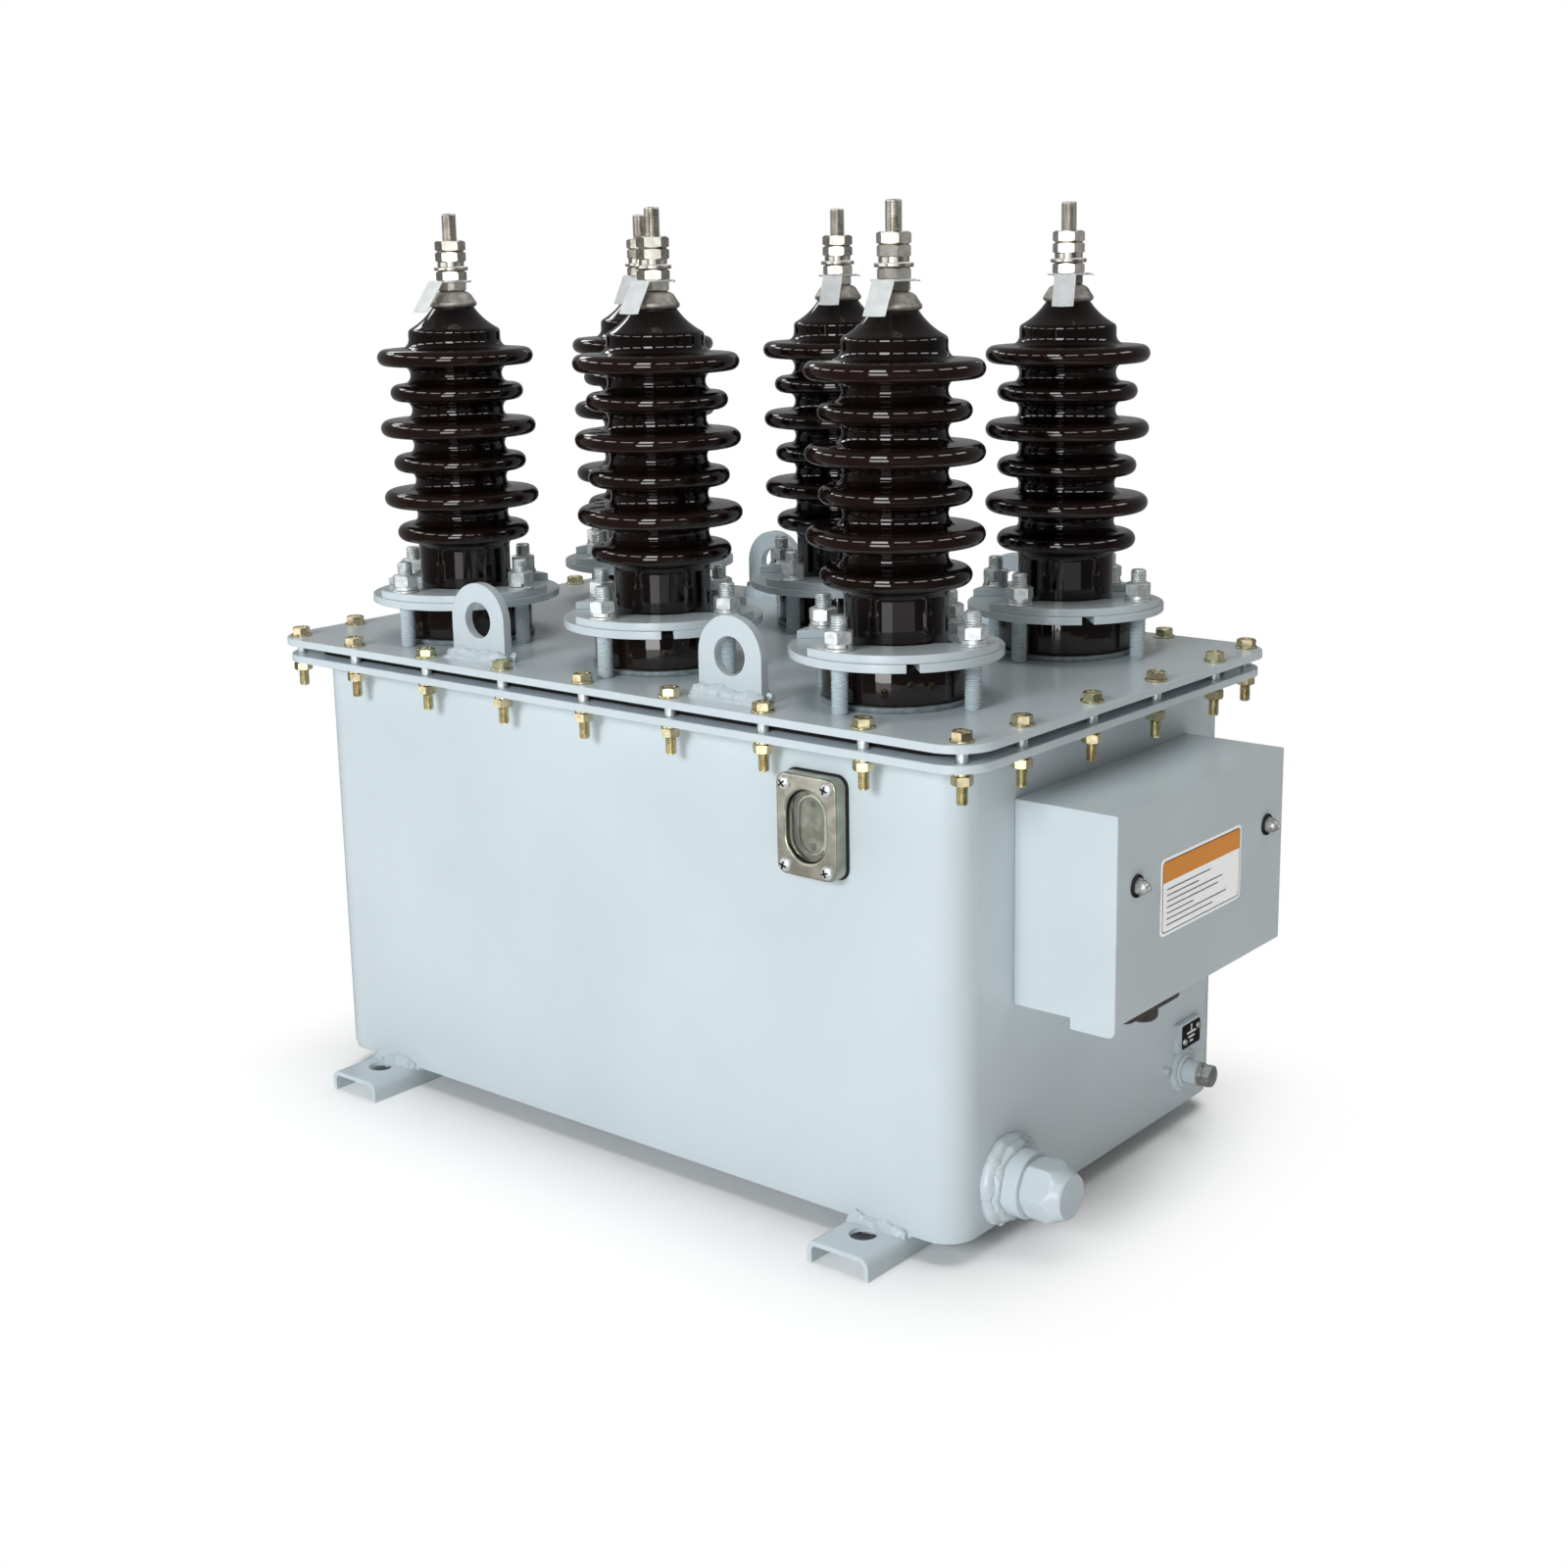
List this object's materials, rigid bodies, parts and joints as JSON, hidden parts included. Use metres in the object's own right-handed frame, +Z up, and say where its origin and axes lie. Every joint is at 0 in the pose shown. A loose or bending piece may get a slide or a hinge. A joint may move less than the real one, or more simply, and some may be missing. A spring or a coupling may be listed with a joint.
{
  "type": "oil-immersed combined metering transformer",
  "caption": "Outdoor oil-filled metering transformer: welded tank on channel feet, bolted lid with lifting lugs, clamped porcelain bushings, sight glass, end terminal box.",
  "frame": {"origin": "on the ground below the middle of the whole reach, from the lid's left edge to the terminal box's front", "axes": "+X along the tank towards the terminal box, -Y towards the sight glass side, +Z up"},
  "size_m": [0.7524, 0.46, 0.7155],
  "materials": {
    "grey_paint": "satin pale blue-grey enamel",
    "brown_glaze": "glossy dark brown glaze",
    "zinc_steel": "pale zinc coat",
    "tinned_brass": "dull tinned",
    "gasket_cork": "matte",
    "nickel_plate": "nickel plated",
    "clear_glass": "clear polished",
    "dark_rubber": "matte"
  },
  "bodies": {
    "root": {"foot_left": "grey_paint", "foot_right": "grey_paint", "tank_floor": "grey_paint", "tank_wall": "grey_paint", "tank_flange": "grey_paint", "tank_lid": "grey_paint", "lifting_lugs_front": "grey_paint", "lifting_lugs_back": "grey_paint", "box_cover": "grey_paint", "drain_boss": "grey_paint", "drain_plug": "grey_paint", "earth_boss": "grey_paint", "lid_gasket": "gasket_cork", "bushing_seats": "gasket_cork", "porcelain_front_left": "brown_glaze", "clamp_lower_front_left": "grey_paint", "clamp_upper_front_left": "grey_paint", "terminal_front_left": "tinned_brass", "porcelain_front_middle": "brown_glaze", "clamp_lower_front_middle": "grey_paint", "clamp_upper_front_middle": "grey_paint", "terminal_front_middle": "tinned_brass", "porcelain_front_right": "brown_glaze", "clamp_lower_front_right": "grey_paint", "clamp_upper_front_right": "grey_paint", "terminal_front_right": "tinned_brass", "porcelain_back_left": "brown_glaze", "clamp_lower_back_left": "grey_paint", "clamp_upper_back_left": "grey_paint", "terminal_back_left": "tinned_brass", "porcelain_back_middle": "brown_glaze", "clamp_lower_back_middle": "grey_paint", "clamp_upper_back_middle": "grey_paint", "terminal_back_middle": "tinned_brass", "porcelain_back_right": "brown_glaze", "clamp_lower_back_right": "grey_paint", "clamp_upper_back_right": "grey_paint", "terminal_back_right": "tinned_brass", "clamp_studs_front": "zinc_steel", "clamp_studs_back": "zinc_steel", "box_posts": "zinc_steel", "sight_frame": "nickel_plate", "sight_pane": "clear_glass", "cable_outlet": "dark_rubber", "cable_gland": "dark_rubber"}
  },
  "joints": []
}
